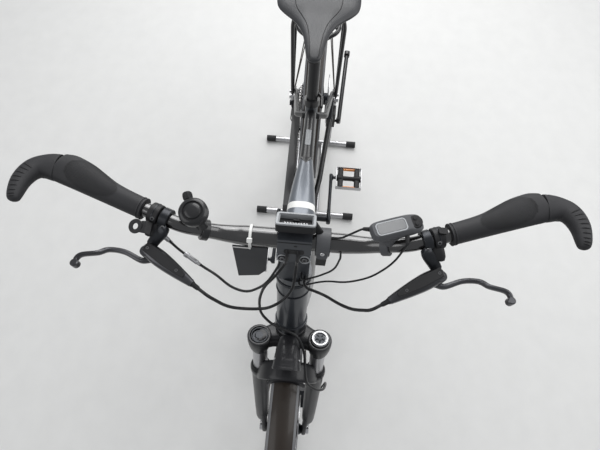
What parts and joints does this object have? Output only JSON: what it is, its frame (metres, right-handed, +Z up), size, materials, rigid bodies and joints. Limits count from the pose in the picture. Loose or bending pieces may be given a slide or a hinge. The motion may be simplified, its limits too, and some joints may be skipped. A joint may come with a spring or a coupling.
{
  "type": "electric bicycle",
  "caption": "City electric bicycle with battery in the down tube, mid motor, suspension fork, mudguards, rack and lamps, held upright by a low display stand under the rear axle.",
  "frame": {"origin": "floor level under the middle of the length, in the plane between left and right", "axes": "+X forward, +Y to the rider's left, +Z up from the floor"},
  "size_m": [1.867, 0.8298, 1.1394],
  "materials": {
    "tyre": "matte moulded rubber",
    "black_aluminium": "satin black anodised",
    "dark_spokes": "black coated wire",
    "brake_steel": "brushed",
    "sprocket_steel": "satin nickel",
    "chain_steel": "oiled",
    "frame_dark_grey": "satin paint",
    "frame_silver_grey": "satin metallic paint",
    "frame_black": "satin paint",
    "fork_black": "satin paint",
    "rack_black": "powder coat",
    "black_plastic": "fine grained",
    "pedal_plastic": "moulded with silver cage faces",
    "bright_steel": "brushed",
    "bright_aluminium": "satin",
    "saddle_cover": "synthetic cover, fine grain",
    "mudguard_plastic": "satin gloss",
    "lamp_red": "moulded lens in a black shell",
    "derailleur_dark": "satin",
    "caliper_black": "satin",
    "stand_steel": "bright zinc",
    "black_rubber": "matte",
    "bar_gloss_black": "gloss",
    "grip_rubber": "textured",
    "lever_silver": "satin dark silver",
    "bell_black": "gloss",
    "display_black": "gloss window in a matte shell",
    "tag_card": "thin card",
    "hose_black": "smooth"
  },
  "bodies": {
    "frame": {"battery": "black_plastic", "chain": "chain_steel", "chain_guard": "black_plastic", "chainstays": "frame_black", "down_tube": "frame_silver_grey", "frame_hoses": "hose_black", "head_tube": "frame_dark_grey", "motor_unit": "black_plastic", "rear_axle": "bright_steel", "rear_caliper": "caliper_black", "rear_derailleur": "derailleur_dark", "rear_light": "lamp_red", "rear_mudguard": "mudguard_plastic", "rear_rack": "rack_black", "saddle": "saddle_cover", "seat_clamp": "bright_aluminium", "seat_post": "black_aluminium", "seat_tube": "frame_black", "seatstays": "frame_black", "stand_frame": "stand_steel", "stand_rubber_ends": "black_rubber", "top_tube": "frame_silver_grey"},
    "fork": {"fork_crown": "fork_black", "stanchions": "bright_aluminium", "fork_caps": "bright_aluminium", "fork_lowers": "fork_black", "front_axle": "bright_steel", "front_caliper": "caliper_black", "headlight": "black_plastic", "front_mudguard": "mudguard_plastic", "stem": "black_aluminium", "stem_faceplate": "black_aluminium", "handlebar": "bar_gloss_black", "grips": "grip_rubber", "bar_ends": "black_plastic", "lever_bodies": "caliper_black", "lever_blades": "lever_silver", "bar_controls": "black_plastic", "bell": "bell_black", "display": "display_black", "display_mount": "black_plastic", "hang_tag": "tag_card", "bar_hoses": "hose_black"},
    "front_wheel": {"front_tyre": "tyre", "front_rim": "black_aluminium", "front_spokes": "dark_spokes", "front_hub": "black_aluminium", "front_rotor": "brake_steel"},
    "rear_wheel": {"rear_tyre": "tyre", "rear_rim": "black_aluminium", "rear_spokes": "dark_spokes", "rear_hub": "black_aluminium", "rear_rotor": "brake_steel", "sprockets": "sprocket_steel"},
    "crankset": {"cranks": "black_aluminium"},
    "pedal_left": {"left_pedal": "pedal_plastic"},
    "pedal_right": {"right_pedal": "pedal_plastic"},
    "kickstand": {"kickstand_leg": "black_aluminium"}
  },
  "joints": [
    {"name": "steering", "type": "hinge", "parent": "frame", "child": "fork", "pos_m": [0.53421, 0, 0.34161], "axis": [-0.342, 0, 0.9397], "range_deg": [-40, 40]},
    {"name": "front_wheel_spin", "type": "hinge", "parent": "fork", "child": "front_wheel", "pos_m": [0.5765, 0, 0.357], "axis": [0, 1, 0], "continuous": true},
    {"name": "rear_wheel_spin", "type": "hinge", "parent": "frame", "child": "rear_wheel", "pos_m": [-0.5595, 0, 0.392], "axis": [0, 1, 0], "continuous": true},
    {"name": "crank_spin", "type": "hinge", "parent": "frame", "child": "crankset", "pos_m": [-0.0995, 0, 0.305], "axis": [0, 1, 0], "continuous": true},
    {"name": "left_pedal_spin", "type": "hinge", "parent": "crankset", "child": "pedal_left", "pos_m": [-0.2695, 0.153, 0.305], "axis": [0, 1, 0], "continuous": true},
    {"name": "right_pedal_spin", "type": "hinge", "parent": "crankset", "child": "pedal_right", "pos_m": [0.0705, -0.153, 0.305], "axis": [0, 1, 0], "continuous": true},
    {"name": "kickstand_swing", "type": "hinge", "parent": "frame", "child": "kickstand", "pos_m": [-0.5175, 0.097, 0.322], "axis": [-0.0998, -0.9458, -0.3089], "range_deg": [0, 104]}
  ]
}
